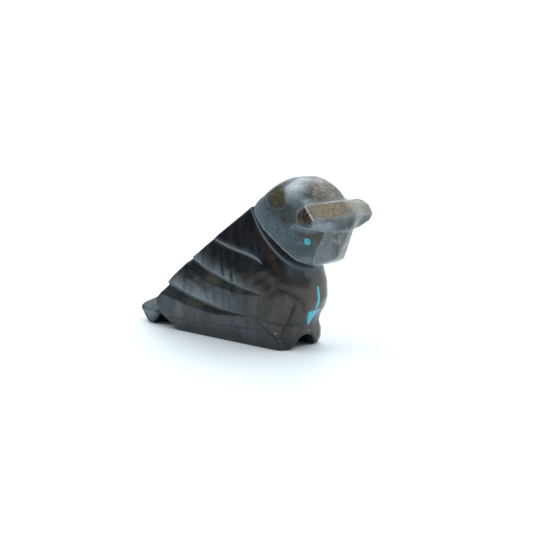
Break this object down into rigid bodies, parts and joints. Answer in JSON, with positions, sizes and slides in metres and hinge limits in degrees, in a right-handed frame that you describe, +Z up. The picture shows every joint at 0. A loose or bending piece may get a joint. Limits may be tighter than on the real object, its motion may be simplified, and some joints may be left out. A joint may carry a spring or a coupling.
{
  "type": "stone owl carving",
  "caption": "Small stone owl with folded, grooved wings, an overhanging brow with ear tufts, inlaid round eyes and an inlaid arrow on its chest; it stands on its flat underside.",
  "frame": {"origin": "on the ground, at the middle of the owl's bounding box", "axes": "+X the way the owl looks, +Y its left side, +Z up"},
  "size_m": [0.053, 0.0172, 0.0328],
  "materials": {
    "stone": "polished banded marble, grey to blue-grey with brown and near-black bands",
    "turquoise": "turquoise ground flush and polished"
  },
  "bodies": {
    "root": {"owl_carving": "stone", "right_eye_inlay": "turquoise", "left_eye_inlay": "turquoise", "heartline_shaft": "turquoise", "heartline_arrowhead": "turquoise"}
  },
  "joints": []
}
